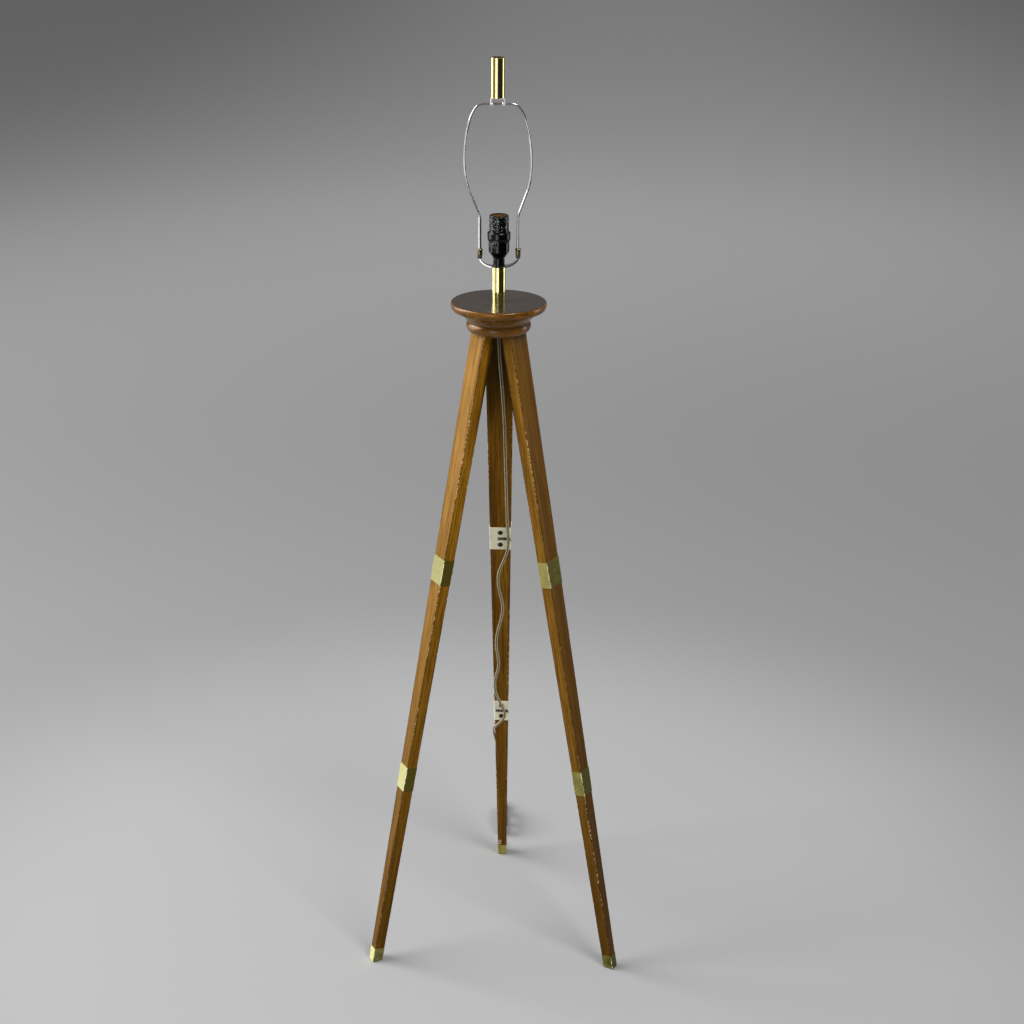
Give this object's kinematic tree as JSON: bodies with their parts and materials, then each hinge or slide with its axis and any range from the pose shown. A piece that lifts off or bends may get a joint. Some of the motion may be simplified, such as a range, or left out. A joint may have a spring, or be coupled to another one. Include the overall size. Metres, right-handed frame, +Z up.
{
  "type": "tripod floor lamp",
  "caption": "Tripod floor lamp base: turned wood head, tapered wood legs with brass bands and foot caps, brass neck, black switched socket, wire harp, tube finial and a cord down the back leg.",
  "frame": {"origin": "on the floor, on the upright axis of the lamp, midway between the three feet", "axes": "+Z up; +Y from the axis toward the leg that carries the cord; +X to the right as seen from the front, with that leg at the back"},
  "size_m": [0.451, 0.572, 1.5928],
  "materials": {
    "head_wood": "semi-gloss brown stain, near-black glossy top",
    "leg_wood": "worn satin brown, straight grain along each leg",
    "sheet_brass": "polished, slightly tarnished",
    "neck_brass": "polished",
    "finial_brass": "polished",
    "dowel_wood": "plain",
    "screw_steel": "blackened, slotted round heads",
    "clip_steel": "blackened strip",
    "pin_steel": "bright",
    "pipe_steel": "zinc plated",
    "bushing_plastic": "black",
    "socket_plastic": "glossy black moulding",
    "knob_plastic": "glossy black moulding",
    "insulator_plastic": "brown",
    "shell_brass": "thin formed sheet",
    "harp_steel": "bright nickel plate",
    "ferrule_brass": "dull antique brass with a bright rim",
    "cord_plastic": "clear gold flat two-conductor cord",
    "tie_plastic": "black",
    "plug_plastic": "clear gold moulding",
    "blade_brass": "bright"
  },
  "bodies": {
    "lamp": {"head_turned": "head_wood", "leg_dowels": "dowel_wood", "leg_back_upper": "leg_wood", "leg_back_middle": "leg_wood", "leg_back_lower": "leg_wood", "band_back_upper": "sheet_brass", "band_back_lower": "sheet_brass", "cap_back": "sheet_brass", "band_screws_back": "screw_steel", "leg_left_upper": "leg_wood", "leg_left_middle": "leg_wood", "leg_left_lower": "leg_wood", "band_left_upper": "sheet_brass", "band_left_lower": "sheet_brass", "cap_left": "sheet_brass", "band_screws_left": "screw_steel", "leg_right_upper": "leg_wood", "leg_right_middle": "leg_wood", "leg_right_lower": "leg_wood", "band_right_upper": "sheet_brass", "band_right_lower": "sheet_brass", "cap_right": "sheet_brass", "band_screws_right": "screw_steel", "cord_clip_upper": "clip_steel", "cord_clip_lower": "clip_steel", "clip_pins": "pin_steel", "lamp_pipe": "pipe_steel", "pipe_nut": "pipe_steel", "pipe_washer": "pipe_steel", "cord_bushing": "bushing_plastic", "neck_tube": "neck_brass", "neck_washer": "neck_brass", "harp_saddle": "harp_steel", "socket_cap": "socket_plastic", "socket_body": "socket_plastic", "socket_insulator": "insulator_plastic", "screw_shell": "shell_brass", "centre_contact": "shell_brass", "cord": "cord_plastic", "cord_hank": "cord_plastic", "cord_tie": "tie_plastic", "plug_body": "plug_plastic", "plug_blades": "blade_brass"},
    "switch_knob": {"switch_knob": "knob_plastic"},
    "harp": {"harp_wire": "harp_steel", "harp_legs": "harp_steel", "harp_bracket": "harp_steel", "finial_stud": "harp_steel"},
    "ferrule_left": {"ferrule_left": "ferrule_brass"},
    "ferrule_right": {"ferrule_right": "ferrule_brass"},
    "finial": {"finial": "finial_brass"}
  },
  "joints": [
    {"name": "switch_turn", "type": "hinge", "parent": "lamp", "child": "switch_knob", "pos_m": [-0.00634, -0.02367, 1.302], "axis": [-0.2588, -0.9659, 0], "continuous": true},
    {"name": "harp_lift", "type": "slide", "parent": "lamp", "child": "harp", "axis": [0, 0, 1], "range_m": [0, 0.03]},
    {"name": "ferrule_left_lift", "type": "slide", "parent": "harp", "child": "ferrule_left", "axis": [0, 0, 1], "range_m": [0, 0.012]},
    {"name": "ferrule_right_lift", "type": "slide", "parent": "harp", "child": "ferrule_right", "axis": [0, 0, 1], "range_m": [0, 0.012]},
    {"name": "finial_lift", "type": "slide", "parent": "harp", "child": "finial", "axis": [0, 0, 1], "range_m": [0, 0.025]}
  ]
}
